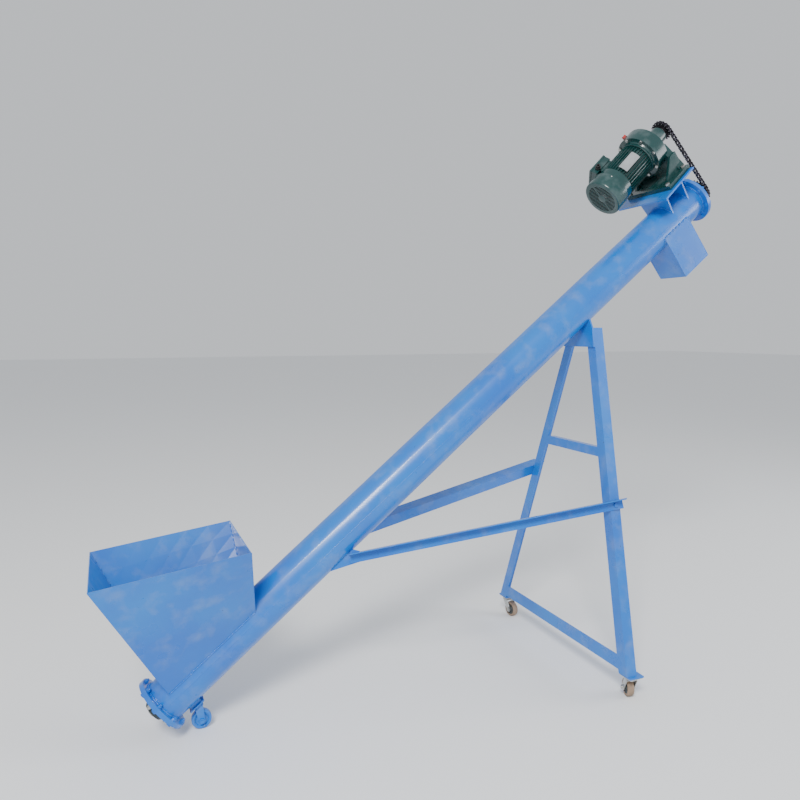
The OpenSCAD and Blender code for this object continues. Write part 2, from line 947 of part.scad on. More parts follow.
module breather_plug() {
    color([0.8, 0.1, 0.12]) at_drive() at_breather() {
        translate([0, 0, ring_r - 9]) cylinder(r = 6, h = 12);
        translate([0, 0, ring_r + 2]) cylinder(r = 10, h = 11);
    }
}

module output_shaft() {
    color(steel) at_drive() {
        rod(output_r, hub_back - 6, 22);
        rod(output_r + 10, case_back - 10, hub_back - 6);
    }
}

// ---- motor ----

module motor_frame() {
    color(green) at_drive() difference() {
        union() {
            rod(motor_r - fin_h, frame_back, adapter_back);
            rod(motor_r, adapter_back - 10, adapter_back);
            ring_of(fin_count, motor_r - fin_h - 2, 180 / fin_count)
                translate([frame_back + 6, 0, -1.3])
                cube([adapter_back - frame_back - 14, fin_h + 1, 2.6]);
        }
        rod(motor_r - fin_h - 8, frame_back - 1, adapter_back - 12);
        rod(rotor_r + 6, frame_back - 1, adapter_back + 1);
        rotate([terminal_roll, 0, 0]) translate([terminal_x0 - 1, -40, motor_r - fin_h + 0.1])
            cube([terminal_len + 2, 80, 20]);
    }
}

module motor_rear_shield() {
    color(green) at_drive() difference() {
        union() {
            rod(motor_r - 1, frame_back - 34, frame_back);
            rod(motor_r - 6, shield_back, frame_back - 33);
            rod(motor_r + 3.9, shield_back, shield_back + 5);
        }
        rod(motor_r - 12, frame_back - 30, frame_back + 1);
        rod(rotor_r + running_gap, shield_back - 1, frame_back);
    }
}

module fan_cover() {
    slots = 9;
    color(green) at_drive() difference() {
        union() {
            rod(motor_r + 6, cover_back + 8, shield_back + 8);
            translate([cover_back, 0, 0]) rotate([0, 90, 0])
                cylinder(r1 = motor_r - 4, r2 = motor_r + 6, h = 9);
        }
        rod(motor_r + 4, cover_back + 11, shield_back + 9);
        translate([cover_back + 3, 0, 0]) rotate([0, 90, 0])
            cylinder(r1 = motor_r - 7, r2 = motor_r + 3, h = 9);
        for (i = [-slots:slots]) {
            z = i * 6.6;
            half = sqrt(pow(motor_r - 16, 2) - z * z);
            for (k = [-1, 1]) {
                start = abs(z) < 20 ? sqrt(400 - z * z) + 2 : 2;
                translate([cover_back - 1, k > 0 ? start : -half, z - 1.4])
                    cube([6, half - start, 2.8]);
            }
        }
    }
}

module motor_rotor() {
    color(steel) at_drive() {
        rod(rotor_r, cover_back + 20, case_back - 16);
        rod(motor_r - 22, frame_back + 14, adapter_back - 16);
    }
}

module cooling_fan() {
    color(black) at_drive() difference() {
        union() {
            rod(24, cover_back + 22, shield_back - 3);
            rod(motor_r - 8, shield_back - 6, shield_back - 3);
            ring_of(8, 22) translate([cover_back + 22, 0, -1.5])
                cube([shield_back - cover_back - 26, motor_r - 32, 3]);
        }
        rod(rotor_r + 0.02, cover_back, shield_back);
    }
}

terminal_roll = -46;
terminal_x0 = frame_back - 30;
terminal_z = motor_r + weld_gap;
fin_h = 11;
terminal_len = 104;
terminal_w = 84;

module terminal_box() {
    z0 = terminal_z - 7;
    color(green) at_drive() rotate([terminal_roll, 0, 0]) {
        difference() {
            union() {
                translate([frame_back + 1, -36, motor_r - fin_h + weld_gap])
                    cube([terminal_x0 + terminal_len - frame_back - 5, 72, fin_h + 1]);
                translate([terminal_x0, -terminal_w / 2, z0 + 7])
                    cube([terminal_len, terminal_w, 30]);
                translate([terminal_x0 - 2, -terminal_w / 2 - 2, z0 + 35])
                    cube([terminal_len + 4, terminal_w + 4, 9]);
            }
            translate([terminal_x0 + 5, -terminal_w / 2 + 5, z0 + 12])
                cube([terminal_len - 10, terminal_w - 10, 26]);
            translate([terminal_x0 + 30, 0, z0 + 20]) rotate([90, 0, 0])
                cylinder(r = 9, h = terminal_w);
        }
    }
}

module cable_gland() {
    z0 = terminal_z - 7;
    color(black) at_drive() rotate([terminal_roll, 0, 0])
        translate([terminal_x0 + 30, -terminal_w / 2, z0 + 20]) rotate([0, 0, -90])
        difference() {
            union() {
                rod(8.9, -4, 1);
                hex_rod(24, 0, 8);
                rod(9, 7, 20);
            }
            rod(5, -5, 21);
        }
}

// ---- sprockets ----

// Toothed disc about the x axis, with a roller seat at the given angle from +y
module sprocket(teeth, phase) {
    r = pitch_r(teeth);
    tip_r = pitch * (0.6 + 1 / tan(180 / teeth)) / 2;
    seat = roller_r + 0.2;
    translate([-tooth_w / 2, 0, 0]) rotate([90, 0, 90]) linear_extrude(tooth_w)
        difference() {
            circle(r = tip_r);
            for (i = [0:teeth - 1]) {
                rotate(phase + i * 360 / teeth) translate([r, 0]) {
                    circle(r = seat);
                    polygon([[0, -seat], [9, -seat - 3.6], [9, seat + 3.6], [0, seat]]);
                }
            }
        }
}

module drive_sprocket() {
    color(black) at_drive() difference() {
        union() {
            sprocket(drive_teeth, link_phase_drive);
            rod(30, 0, 20);
        }
        rod(output_r + 0.02, -20, 24);
    }
}

module driven_sprocket() {
    color(black) along_tube() translate([driven_s, 0, 0]) difference() {
        union() {
            sprocket(driven_teeth, link_phase_driven);
            rod(34, 0, 26);
        }
        rod(journal_d / 2 + 0.02, -20, 30);
    }
}

// ---- chain ----

// The path in pitches: over the drive sprocket, down the near run, round the driven
// sprocket and up the far run. Angles are measured from +y, which points away.
wrap1 = drive_teeth * (180 - 2 * gamma(centre_dist)) / 360;
wrap2 = driven_teeth * (180 + 2 * gamma(centre_dist)) / 360;
run_links = (chain_links - wrap1 - wrap2) / 2;
link_phase_drive = gamma(centre_dist);
link_phase_driven = 180 - gamma(centre_dist) + (1 - frac(wrap1 + run_links)) * 360 / driven_teeth;
function frac(v) = v - floor(v);

// Place of roller k, as [along the tube, across, square to the tube]
function turned(c, y, z, tilt) = c + [-z * sin(tilt), y, z * cos(tilt)];
top_c = [drive_s, 0, drive_n];
low_c = [driven_s, 0, 0];
function roller_at(k) = let (g = gamma(centre_dist), q = k % chain_links)
    q <= wrap1
        ? let (a = g + q * 360 / drive_teeth)
            turned(top_c, r1 * cos(a), r1 * sin(a), drive_tilt)
    : q <= wrap1 + run_links
        ? mix(
            turned(top_c, r1 * cos(180 - g), r1 * sin(180 - g), drive_tilt),
            turned(low_c, r2 * cos(180 - g), r2 * sin(180 - g), 0),
            (q - wrap1) / run_links)
    : q <= wrap1 + run_links + wrap2
        ? let (a = 180 - g + (q - wrap1 - run_links) * 360 / driven_teeth)
            turned(low_c, r2 * cos(a), r2 * sin(a), 0)
    : mix(
        turned(low_c, r2 * cos(g), r2 * sin(g), 0),
        turned(top_c, r1 * cos(g), r1 * sin(g), drive_tilt),
        (q - wrap1 - run_links - wrap2) / run_links);
function tilt_at(k) = let (q = k % chain_links)
    q <= wrap1 ? drive_tilt : q > wrap1 + run_links && q <= wrap1 + run_links + wrap2 ? 0
    : chain_tilt;

module link_plate(len, t) {
    rotate([90, 0, 90]) linear_extrude(t, center = true) {
        circle(r = link_h / 2 - 0.6, $fn = 24);
        translate([len, 0]) circle(r = link_h / 2 - 0.6, $fn = 24);
        translate([0, -link_h / 2 + 2]) square([len, link_h - 4]);
    }
}

module outer_link(len) {
    for (k = [-1, 1]) {
        translate([k * (chain_inner_w / 2 + link_t * 1.5 + 0.6), 0, 0])
            link_plate(len, link_t);
    }
    for (y = [0, len]) {
        translate([0, y, 0]) rod(2.3, -9.4, 9.4, $fn = 16);
    }
}

module inner_link(len) {
    difference() {
        union() {
            for (k = [-1, 1]) {
                translate([k * (chain_inner_w / 2 + link_t / 2), 0, 0])
                    link_plate(len, link_t);
            }
            for (y = [0, len]) {
                translate([0, y, 0])
                    rod(roller_r, -chain_inner_w / 2, chain_inner_w / 2, $fn = 24);
            }
        }
        for (y = [0, len]) {
            translate([0, y, 0]) rod(2.8, -9, 9, $fn = 24);
        }
    }
}

module drive_chain() {
    color(black) along_tube() for (k = [0:chain_links - 1]) {
        a = roller_at(k);
        b = roller_at(k + 1);
        d = unit(b - a);
        lean = (tilt_at(k) + tilt_at(k + 1)) / 2;
        side = [cos(lean), 0, sin(lean)];
        pin = unit(side - d * (side * d));
        basis(a, pin, d, cross(pin, d)) {
            if (k % 2 == 0) {
                inner_link(norm(b - a));
            } else {
                outer_link(norm(b - a));
            }
        }
    }
}

// ---- casters ----

// Caster frame: origin on the top of the plate, z up the swivel axis, trail along +x
king_r = 6;
axle_r = 6;
axle_z = -(caster_h - wheel_r);
race_z = -13;
fork_in = wheel_w / 2 + 2.5;
fork_t = 3;

module caster_head() {
    difference() {
        translate([-caster_plate / 2, -caster_plate / 2, -4])
            cube([caster_plate, caster_plate, 4]);
        for (x = [-1, 1], y = [-1, 1]) {
            translate([x * (caster_plate / 2 - 9), y * (caster_plate / 2 - 9), -5])
                cylinder(r = 4.2, h = 6);
        }
    }
    translate([0, 0, race_z]) cylinder(r = 23, h = -race_z - 3);
    translate([0, 0, race_z - 7]) cylinder(r = king_r, h = 8);
    translate([0, 0, race_z - 9]) cylinder(r = 11, h = 4 - side_gap);
}

module caster_fork() {
    top = race_z - side_gap;
    difference() {
        union() {
            translate([0, 0, top - 4]) cylinder(r = 24, h = 4);
            for (k = [-1, 1]) {
                translate([0, k * (fork_in + fork_t / 2) + fork_t / 2, 0]) rotate([90, 0, 0])
                    linear_extrude(fork_t) {
                        polygon([
                            [-17, top],
                            [17, top],
                            [caster_trail + 12, axle_z + 3],
                            [caster_trail - 12, axle_z - 3]
                        ]);
                        translate([caster_trail, axle_z]) circle(r = 13);
                    }
            }
        }
        translate([0, 0, top - 5]) cylinder(r = king_r + running_gap, h = 6);
        translate([caster_trail, 0, axle_z]) rotate([90, 0, 0])
            cylinder(r = axle_r + 0.02, h = 80, center = true);
    }
}

module caster_axle() {
    half = fork_in + fork_t;
    translate([caster_trail, 0, axle_z]) rotate([0, 0, 90]) {
        rod(axle_r, -half - 6, half + 12);
        hex_rod(19, -half - 7, -half);
        hex_rod(19, half, half + 9);
    }
}

module caster_wheel() {
    half = wheel_w / 2;
    translate([caster_trail, 0, axle_z]) rotate([90, 0, 0]) rotate_extrude() polygon([
        [axle_r + running_gap, -half - 2],
        [12, -half - 2],
        [14, -half + 4],
        [wheel_r - 12, -half + 5],
        [wheel_r - 8, -half],
        [wheel_r - 3, -half + 1],
        [wheel_r, -half + 6],
        [wheel_r, half - 6],
        [wheel_r - 3, half - 1],
        [wheel_r - 8, half],
        [wheel_r - 12, half - 5],
        [14, half - 4],
        [12, half + 2],
        [axle_r + running_gap, half + 2]
    ]);
}

module at_front_caster() {
    along_tube() translate([front_swivel_s, 0, front_plate_n]) rotate([0, 0, 180]) children();
}

module at_near_caster(turn) {
    machine() translate([rear_x, -rear_y, caster_h]) rotate([0, 0, turn]) children();
}

module at_far_caster(turn) {
    machine() translate([rear_x, rear_y, caster_h]) rotate([0, 0, turn]) children();
}

module front_caster_plate() {
    color(paint) difference() {
        at_front_caster() {
            caster_head();
            translate([-22, -22, -1]) cube([44, 44, front_pad + 12]);
        }
        along_tube() tube_solid();
    }
}

module rear_caster_plates() {
    color(zinc) {
        at_near_caster(0) caster_head();
        at_far_caster(0) caster_head();
    }
}

module front_fork() {
    color(paint) at_front_caster() caster_fork();
}

module front_axle() {
    color(paint) at_front_caster() caster_axle();
}

module front_wheel() {
    color(paint) at_front_caster() caster_wheel();
}

module near_fork() {
    color(zinc) at_near_caster(near_swivel) caster_fork();
}

module near_axle() {
    color(zinc) at_near_caster(near_swivel) caster_axle();
}

module near_wheel() {
    color(tread) at_near_caster(near_swivel) caster_wheel();
}

module far_fork() {
    color(zinc) at_far_caster(far_swivel) caster_fork();
}

module far_axle() {
    color(zinc) at_far_caster(far_swivel) caster_axle();
}

module far_wheel() {
    color(tread) at_far_caster(far_swivel) caster_wheel();
}

auger_tube();
lower_tube_flange();
upper_tube_flange();
lower_end_plate();
upper_end_plate();
flange_bolts();
hopper_low_panel();
hopper_high_panel();
hopper_near_panel();
hopper_far_panel();
spout_side_panels();
spout_end_panels();
lower_bearing_housing();
upper_bearing_housing();
bearing_bolts();
bearing_balls();
shaft_seals();
saddle_plate();
near_leg();
far_leg();
upper_cross_bar();
lower_cross_bar();
foot_plates();
near_brace();
far_brace();
brace_ears();
brace_bolts();
drive_base_plate();
drive_gussets();
reducer_housing();
reducer_gear_ring();
motor_adapter();
reducer_bolts();
breather_plug();
motor_frame();
motor_rear_shield();
fan_cover();
terminal_box();
cable_gland();
drive_chain();
front_caster_plate();
rear_caster_plates();
screw_core();
screw_flighting();
screw_journals();
bearing_inner_rings();
driven_sprocket();
output_shaft();
drive_sprocket();
motor_rotor();
cooling_fan();
front_fork();
front_axle();
front_wheel();
near_fork();
near_axle();
near_wheel();
far_fork();
far_axle();
far_wheel();
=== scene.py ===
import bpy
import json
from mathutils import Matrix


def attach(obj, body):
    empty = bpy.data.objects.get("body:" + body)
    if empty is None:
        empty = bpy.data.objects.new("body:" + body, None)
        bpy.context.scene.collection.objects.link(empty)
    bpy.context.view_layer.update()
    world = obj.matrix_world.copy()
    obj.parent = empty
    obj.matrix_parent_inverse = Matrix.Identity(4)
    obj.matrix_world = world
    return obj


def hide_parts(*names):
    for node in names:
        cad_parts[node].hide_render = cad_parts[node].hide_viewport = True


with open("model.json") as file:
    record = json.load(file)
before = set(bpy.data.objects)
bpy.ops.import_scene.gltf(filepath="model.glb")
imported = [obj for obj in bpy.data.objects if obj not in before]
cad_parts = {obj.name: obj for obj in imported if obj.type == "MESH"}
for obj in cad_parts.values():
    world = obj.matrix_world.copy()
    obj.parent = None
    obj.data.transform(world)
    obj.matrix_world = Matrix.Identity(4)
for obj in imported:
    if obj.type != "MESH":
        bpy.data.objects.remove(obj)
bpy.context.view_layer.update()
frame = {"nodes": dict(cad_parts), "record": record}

import json
import math

import bpy
from mathutils import Matrix, Vector

# ---- Camera ----
# A standing person's view from beyond the hopper's near side, about 1.5 m above the floor.
# The lens and its slight shift give the framing.
eye = Vector((-1.31795, -2.62578, 1.50462))
heading = 0.402339
look_down = 0.103963
ahead = Vector((math.sin(heading) * math.cos(look_down),
                math.cos(heading) * math.cos(look_down),
                -math.sin(look_down)))
right = Vector((math.cos(heading), -math.sin(heading), 0))
camera = bpy.data.objects.new("camera", bpy.data.cameras.new("camera"))
camera.data.lens = 31.4
camera.data.sensor_width = 36
camera.data.shift_x = -0.00304
camera.data.shift_y = 0.00564
camera.data.clip_end = 200
camera.matrix_world = Matrix.Translation(eye) @ Matrix(
    (right, right.cross(ahead), -ahead)).transposed().to_4x4()
bpy.context.scene.collection.objects.link(camera)
bpy.context.scene.camera = camera

# ---- Floor and light ----
# A pale matte studio floor, a broad key light from the front left,
# a weaker one from the right, and an even pale surround.
floor_half = 40.0
floor_mesh = bpy.data.meshes.new("studio_floor")
floor_mesh.from_pydata([(x * floor_half, y * floor_half, 0)
                        for x, y in ((-1, -1), (1, -1), (1, 1), (-1, 1))], [], [(0, 1, 2, 3)])
studio_floor = bpy.data.objects.new("studio_floor", floor_mesh)
bpy.context.scene.collection.objects.link(studio_floor)
floor_finish = bpy.data.materials.new("pale_floor")
floor_finish.use_nodes = True
floor_shader = floor_finish.node_tree.nodes["Principled BSDF"]
floor_shader.inputs["Base Color"].default_value = (0.86, 0.87, 0.88, 1)
floor_shader.inputs["Roughness"].default_value = 0.9
floor_mesh.materials.append(floor_finish)

surround = bpy.data.worlds.new("surround")
surround.use_nodes = True
surround.node_tree.nodes["Background"].inputs["Color"].default_value = (0.93, 0.96, 1.0, 1)
surround.node_tree.nodes["Background"].inputs["Strength"].default_value = 0.75
bpy.context.scene.world = surround


def studio_light(name, place, target, size, watts, tint):
    lamp = bpy.data.objects.new(name, bpy.data.lights.new(name, "AREA"))
    lamp.data.size = size
    lamp.data.energy = watts
    lamp.data.color = tint
    lamp.location = place
    lamp.rotation_euler = (Vector(target) - Vector(place)).to_track_quat("-Z", "Y").to_euler()
    bpy.context.scene.collection.objects.link(lamp)


studio_light("key_light", (-3.5, -5.0, 6.0), (0, 0, 1.0), 2.2, 620, (1.0, 0.98, 0.94))
studio_light("side_light", (6.0, -2.5, 3.0), (0.3, 0, 1.2), 3.0, 160, (0.94, 0.97, 1.0))

# ---- Blue enamel ----
# Sprayed gloss enamel over mild steel, mixed to a bright sky blue. It runs a little thick
# and thin, lies in a fine orange peel, gathers dust, and has chipped here and there to a
# dark primer.


def enamel(name, fresh, faded, chip, shine, chip_share):
    material = bpy.data.materials.new(name)
    material.use_nodes = True
    nodes = material.node_tree.nodes
    join = material.node_tree.links.new
    shader = nodes["Principled BSDF"]
    place = nodes.new("ShaderNodeTexCoord")

    def mottle(scale, detail, low, high, from_value, to_value):
        cloud = nodes.new("ShaderNodeTexNoise")
        cloud.inputs["Scale"].default_value = scale
        cloud.inputs["Detail"].default_value = detail
        join(place.outputs["Object"], cloud.inputs["Vector"])
        spread = nodes.new("ShaderNodeMapRange")
        spread.inputs["From Min"].default_value = low
        spread.inputs["From Max"].default_value = high
        spread.inputs["To Min"].default_value = from_value
        spread.inputs["To Max"].default_value = to_value
        join(cloud.outputs["Fac"], spread.inputs["Value"])
        return spread.outputs["Result"]

    def blend_colour(share, first, second):
        mix = nodes.new("ShaderNodeMix")
        mix.data_type = "RGBA"
        join(share, mix.inputs[0])
        for socket, colour in ((mix.inputs[6], first), (mix.inputs[7], second)):
            if isinstance(colour, tuple):
                socket.default_value = (*colour, 1)
            else:
                join(colour, socket)
        return mix.outputs[2]

    coverage = blend_colour(mottle(3.5, 4, 0.35, 0.7, 0, 1), fresh, faded)
    dusty = blend_colour(mottle(16, 6, 0.5, 0.85, 0, 0.22), coverage, (0.42, 0.46, 0.48))
    chipped = mottle(70, 3, 1 - chip_share, 1.02 - chip_share, 0, 1)
    join(blend_colour(chipped, dusty, chip), shader.inputs["Base Color"])
    join(mottle(9, 5, 0.3, 0.75, shine, shine + 0.16), shader.inputs["Roughness"])
    shader.inputs["Coat Weight"].default_value = 0.35
    shader.inputs["Coat Roughness"].default_value = 0.12
    shader.inputs["IOR"].default_value = 1.5

    peel = nodes.new("ShaderNodeTexNoise")
    peel.inputs["Scale"].default_value = 260
    peel.inputs["Detail"].default_value = 2
    join(place.outputs["Object"], peel.inputs["Vector"])
    ripple = nodes.new("ShaderNodeBump")
    ripple.inputs["Strength"].default_value = 0.06
    ripple.inputs["Distance"].default_value = 0.001
    join(peel.outputs["Fac"], ripple.inputs["Height"])
    dent = nodes.new("ShaderNodeBump")
    dent.inputs["Strength"].default_value = 0.12
    dent.inputs["Distance"].default_value = 0.004
    join(mottle(4, 2, 0, 1, 0, 1), dent.inputs["Height"])
    join(ripple.outputs["Normal"], dent.inputs["Normal"])
    join(dent.outputs["Normal"], shader.inputs["Normal"])
    return material


blue_enamel = enamel("blue_enamel", fresh=(0.0, 0.13, 0.56), faded=(0.0, 0.18, 0.62),
                     chip=(0.03, 0.04, 0.06), shine=0.24, chip_share=0.25)

# ---- Auger tube, its flanges and end plates ----
# A rolled pipe with one long seam, cut open for the hopper and the spout. A slip-on flange
# is welded at each end and a turned plate bolted to it. Edges are broken before painting.
spins = {joint["name"]: joint for joint in frame["record"]["behaviour"]["joints"]}


def axis_frame(joint, back):
    """x along a joint's axis, y to the far side, z up, with x = 0 at back behind its centre."""
    along = Vector(spins[joint]["axis"])
    across = Vector((0, 1, 0))
    return Matrix.Translation(Vector(spins[joint]["pos_m"]) - along * back) @ Matrix(
        (along, across, along.cross(across))).transposed().to_4x4()


along_tube = axis_frame("screw_spin", 0.934261)
tube_r = 0.084
tube_low, tube_high = -2.316, 0.866


def dress(name, finish, edge=0.0008, segments=2):
    """Gives a CAD piece its finish, and breaks its sharp edges."""
    node = frame["nodes"][name]
    for polygon in node.data.polygons:
        polygon.use_smooth = True
    for place in node.material_slots:
        place.material = finish
    flat = node.modifiers.new("flat faces", "DECIMATE")
    flat.decimate_type = "DISSOLVE"
    flat.angle_limit = math.radians(0.6)
    broken = node.modifiers.new("broken edges", "BEVEL")
    broken.width = edge
    broken.segments = segments
    broken.limit_method = "ANGLE"
    broken.angle_limit = math.radians(32)
    even = node.modifiers.new("even shading", "WEIGHTED_NORMAL")
    even.weight = 80


def add_piece(name, points, faces, finish, body, slot, sharp=35):
    """One mesh piece, already in place in the machine's frame, smooth up to an edge angle."""
    mesh = bpy.data.meshes.new(name)
    mesh.from_pydata([tuple(point) for point in points], [], faces)
    mesh.materials.append(finish)
    mesh.shade_smooth()
    mesh.set_sharp_from_angle(angle=math.radians(sharp))
    made = bpy.data.objects.new(name, mesh)
    bpy.context.scene.collection.objects.link(made)
    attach(made, body)
    return made


def spaced(path, gap):
    """Points at even distances along a path."""
    reach = [0.0]
    for first, second in zip(path, path[1:]):
        reach.append(reach[-1] + (second - first).length)
    count = max(2, round(reach[-1] / gap) + 1)
    points, leg = [], 0
    for index in range(count):
        distance = reach[-1] * index / (count - 1)
        while leg < len(path) - 2 and reach[leg + 1] < distance:
            leg += 1
        share = (distance - reach[leg]) / max(reach[leg + 1] - reach[leg], 1e-9)
        points.append(path[leg].lerp(path[leg + 1], min(max(share, 0), 1)))
    return points


def weld_bead(name, paths, radius, finish=blue_enamel, slot="paint_blue", gap=0.0022):
    """Beads of weld laid along paths, with the ripple of one puddle after another."""
    points, faces, sides = [], [], 8
    for path in paths:
        places = spaced(path, gap)
        side = (places[1] - places[0]).orthogonal().normalized()
        start = len(points)
        for index, place in enumerate(places):
            run = places[min(index + 1, len(places) - 1)] - places[max(index - 1, 0)]
            run.normalize()
            side = (side - run * side.dot(run)).normalized()
            up = run.cross(side)
            swell = radius * (0.86 + 0.14 * math.cos(index * math.tau / 3)
                              + 0.07 * math.sin(index * 0.83 + radius * 900))
            if index in (0, len(places) - 1):
                swell *= 0.45
            points += [place + (side * math.cos(turn) + up * math.sin(turn)) * swell
                       for turn in (math.tau * k / sides for k in range(sides))]
        for index in range(len(places) - 1):
            ring = start + index * sides
            faces += [(ring + k, ring + (k + 1) % sides, ring + sides + (k + 1) % sides,
                       ring + sides + k) for k in range(sides)]
        faces.append(tuple(range(start + sides - 1, start - 1, -1)))
        faces.append(tuple(range(start + (len(places) - 1) * sides, start + len(places) * sides)))
    return add_piece(name, points, faces, finish, "machine", slot, sharp=80)


def on_tube(s, turn, radius=tube_r):
    """A point by its distance along the tube and its angle from the top toward the far side."""
    return along_tube @ Vector((s, radius * math.sin(turn), radius * math.cos(turn)))


for tube_piece in ("auger_tube", "lower_tube_flange", "upper_tube_flange",
                   "lower_end_plate", "upper_end_plate"):
    dress(tube_piece, blue_enamel)
dress("flange_bolts", blue_enamel, edge=0.0005)

seam_turn = math.radians(-84)
pipe_seam_gap = 0.03
weld_bead("pipe_seam", [[on_tube(tube_low + pipe_seam_gap, seam_turn, tube_r - 0.0008),
                         on_tube(tube_high - pipe_seam_gap, seam_turn, tube_r - 0.0008)]],
          0.0017, gap=0.006)
flange_t = 0.009
weld_bead("flange_welds", [[on_tube(s, math.tau * k / 60, tube_r + 0.001) for k in range(61)]
                           for s in (tube_low + flange_t + 0.001, tube_high - flange_t - 0.001)],
          0.0042)

# ---- Hopper ----
# Four sheets of 3 mm steel, cut to shape and welded along the corners and to the pipe.
# The corners are tacked inside with short runs of weld that show through the paint.
for sheet_piece in ("hopper_low_panel", "hopper_high_panel", "hopper_near_panel",
                    "hopper_far_panel"):
    dress(sheet_piece, blue_enamel, edge=0.0006)


seam_start, seam_len, seam_half, seam_r = 0.058, 0.410, 0.075, tube_r + 0.0003
rim_len, rim_half, rim_overhang, rim_rise = 0.530, 0.230, 0.249, 0.473
rim_slope = math.radians(7.2)
seam_s = [tube_low + seam_start, tube_low + seam_start + seam_len]
seam_low, seam_high = [on_tube(s, -math.asin(seam_half / seam_r), seam_r) for s in seam_s]
rim_low = Vector((seam_low.x - rim_overhang, -rim_half, seam_low.z + rim_rise))
rim_high = rim_low + Vector((rim_len, 0, rim_len * math.tan(rim_slope)))


def far_side(point):
    return Vector((point.x, -point.y, point.z))


def pull_in(point, amount):
    return Vector((point.x, point.y + amount, point.z))


outer_corners = [[seam_low, rim_low], [seam_high, rim_high]]
weld_bead("hopper_corner_welds",
          [[pull_in(foot, 0.0008), pull_in(top, 0.0008)] for foot, top in outer_corners]
          + [[far_side(pull_in(foot, 0.0008)), far_side(pull_in(top, 0.0008))]
             for foot, top in outer_corners], 0.0019)
tacks = []
for foot, top in outer_corners:
    inside = 1 if foot is seam_low else -1
    for k in range(13):
        start = foot.lerp(top, 0.20 + k * 0.06)
        end = foot.lerp(top, 0.235 + k * 0.06)
        run = [Vector((p.x + inside * 0.0036, p.y + 0.0052, p.z)) for p in (start, end)]
        tacks += [run, [far_side(p) for p in run]]
weld_bead("hopper_inside_tacks", tacks, 0.0028, gap=0.0018)

seam_turn_out = math.asin(0.0752 / seam_r)
side_seams = [[on_tube(seam_s[0] + seam_len * k / 40, turn, 0.0852) for k in range(41)]
              for turn in (-seam_turn_out, seam_turn_out)]
end_seams = []
for s, lean, out in ((seam_s[0], 105.1 / 524.1, -1), (seam_s[1], 148.6 / 241.8, 1)):
    arc = []
    for k in range(31):
        turn = -seam_turn_out + 2 * seam_turn_out * k / 30
        rise = tube_r * math.cos(turn) - 0.0383
        arc.append(on_tube(s + rise * lean + out * 0.0012, turn, 0.0852))
    end_seams.append(arc)
weld_bead("hopper_seam_welds", side_seams + end_seams, 0.0034)

# ---- Spout ----
# A square duct of 3 mm sheet under the pipe's high end, held by short runs of weld.
for sheet_piece in ("spout_side_panels", "spout_end_panels"):
    dress(sheet_piece, blue_enamel, edge=0.0006)
spout_start, spout_end = 0.573, 0.742
spout_half, spout_mouth = 0.082, -0.240
side_turn = math.pi - math.asin(spout_half / 0.0845)
stitches = []
for turn in (-side_turn, side_turn):
    for k in range(7):
        start = spout_start + 0.004 + k * 0.0242
        stitches.append([on_tube(start, turn, 0.0862), on_tube(start + 0.016, turn, 0.0862)])
for s in (spout_start - 0.0012, spout_end + 0.0012):
    stitches.append([on_tube(s, math.pi + 1.26 * (k / 15 - 1), 0.0856) for k in range(31)])
weld_bead("spout_seam_welds", stitches, 0.0032)
weld_bead("spout_corner_welds",
          [[along_tube @ Vector((s, y, -0.022)), along_tube @ Vector((s, y, spout_mouth + 0.001))]
           for s in (spout_start + 0.0004, spout_end - 0.0004)
           for y in (-spout_half + 0.0004, spout_half - 0.0004)], 0.0016)

# ---- Bearings, shaft ends and seals ----
# Square cast flange units bolted to the end plates, each with a ball bearing that grips
# the screw's turned shaft end. Castings are painted dark and the fasteners plated.


def metal(name, colour, stain, roughness, grain, bump=0.15):
    """Bare or plated metal with a fine grain and a thin film of grime."""
    material = bpy.data.materials.new(name)
    material.use_nodes = True
    nodes = material.node_tree.nodes
    join = material.node_tree.links.new
    shader = nodes["Principled BSDF"]
    shader.inputs["Metallic"].default_value = 0.9
    place = nodes.new("ShaderNodeTexCoord")
    stretch = nodes.new("ShaderNodeMapping")
    stretch.inputs["Scale"].default_value = grain
    join(place.outputs["Object"], stretch.inputs["Vector"])
    lines = nodes.new("ShaderNodeTexNoise")
    lines.inputs["Scale"].default_value = 60
    lines.inputs["Detail"].default_value = 5
    join(stretch.outputs["Vector"], lines.inputs["Vector"])
    grime = nodes.new("ShaderNodeTexNoise")
    grime.inputs["Scale"].default_value = 22
    grime.inputs["Detail"].default_value = 6
    join(place.outputs["Object"], grime.inputs["Vector"])
    cover = nodes.new("ShaderNodeValToRGB")
    cover.color_ramp.elements[0].position = 0.42
    cover.color_ramp.elements[0].color = (*colour, 1)
    cover.color_ramp.elements[1].position = 0.78
    cover.color_ramp.elements[1].color = (*stain, 1)
    join(grime.outputs["Fac"], cover.inputs["Fac"])
    join(cover.outputs["Color"], shader.inputs["Base Color"])
    dull = nodes.new("ShaderNodeMapRange")
    dull.inputs["To Min"].default_value = roughness - 0.08
    dull.inputs["To Max"].default_value = roughness + 0.14
    join(lines.outputs["Fac"], dull.inputs["Value"])
    join(dull.outputs["Result"], shader.inputs["Roughness"])
    rough = nodes.new("ShaderNodeBump")
    rough.inputs["Strength"].default_value = bump
    rough.inputs["Distance"].default_value = 0.0006
    join(lines.outputs["Fac"], rough.inputs["Height"])
    join(rough.outputs["Normal"], shader.inputs["Normal"])
    return material


